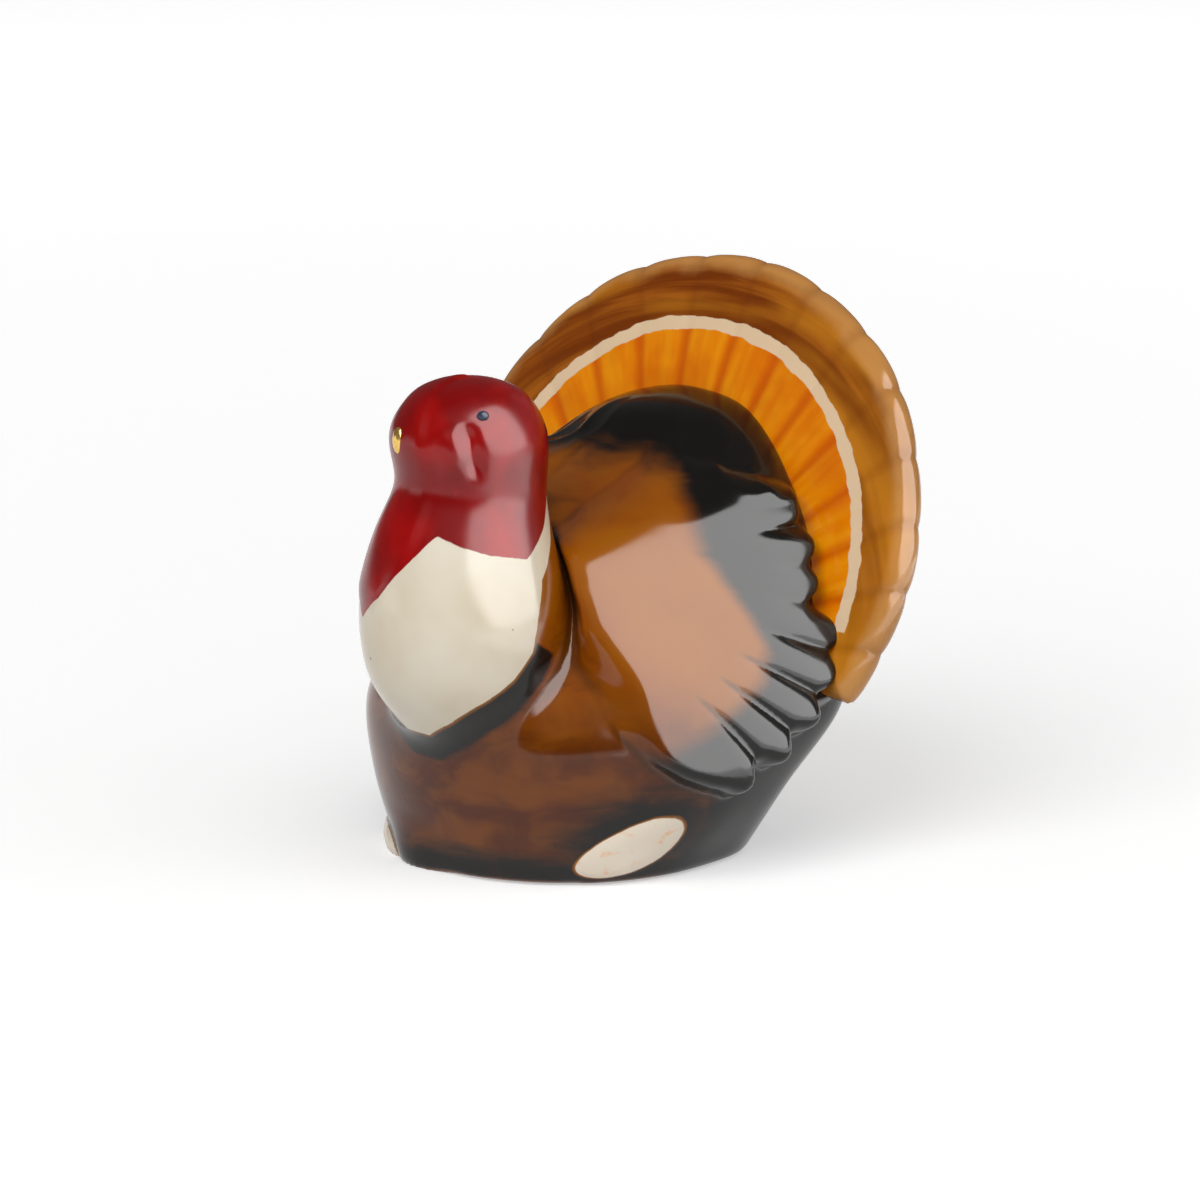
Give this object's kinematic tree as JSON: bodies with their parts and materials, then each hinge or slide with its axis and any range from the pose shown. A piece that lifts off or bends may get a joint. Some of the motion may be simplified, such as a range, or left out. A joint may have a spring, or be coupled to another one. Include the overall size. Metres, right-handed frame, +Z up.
{
  "type": "thanksgiving turkey figure",
  "caption": "Small glazed ceramic turkey standing on a flat foot, with a round fanned tail, puffed wings, a turned head and a painted bib; a free-standing table decoration.",
  "frame": {"origin": "middle of the flat foot, on the surface that the figure stands on", "axes": "+Z up, the bird faces -Y, its left side is at +X"},
  "size_m": [0.064, 0.0554, 0.0597],
  "materials": {
    "brown_glaze": "glossy brown glaze with a cream bib and black brush strokes",
    "wing_glaze": "glossy glaze, brown at the shoulder and black at the feather tips",
    "red_glaze": "glossy red glaze",
    "amber_glaze": "glossy amber glaze with an orange band, a cream line and a brown rim",
    "cream_glaze": "glossy cream glaze",
    "black_glaze": "glossy black glaze",
    "gold_lustre": "gold lustre over glaze"
  },
  "bodies": {
    "root": {"torso": "brown_glaze", "head": "red_glaze", "wattle": "red_glaze", "beak": "gold_lustre", "eye_left": "black_glaze", "eye_right": "black_glaze", "wing_left": "wing_glaze", "wing_right": "wing_glaze", "tail_fan": "amber_glaze", "foot_left": "cream_glaze", "foot_right": "cream_glaze"}
  },
  "joints": []
}
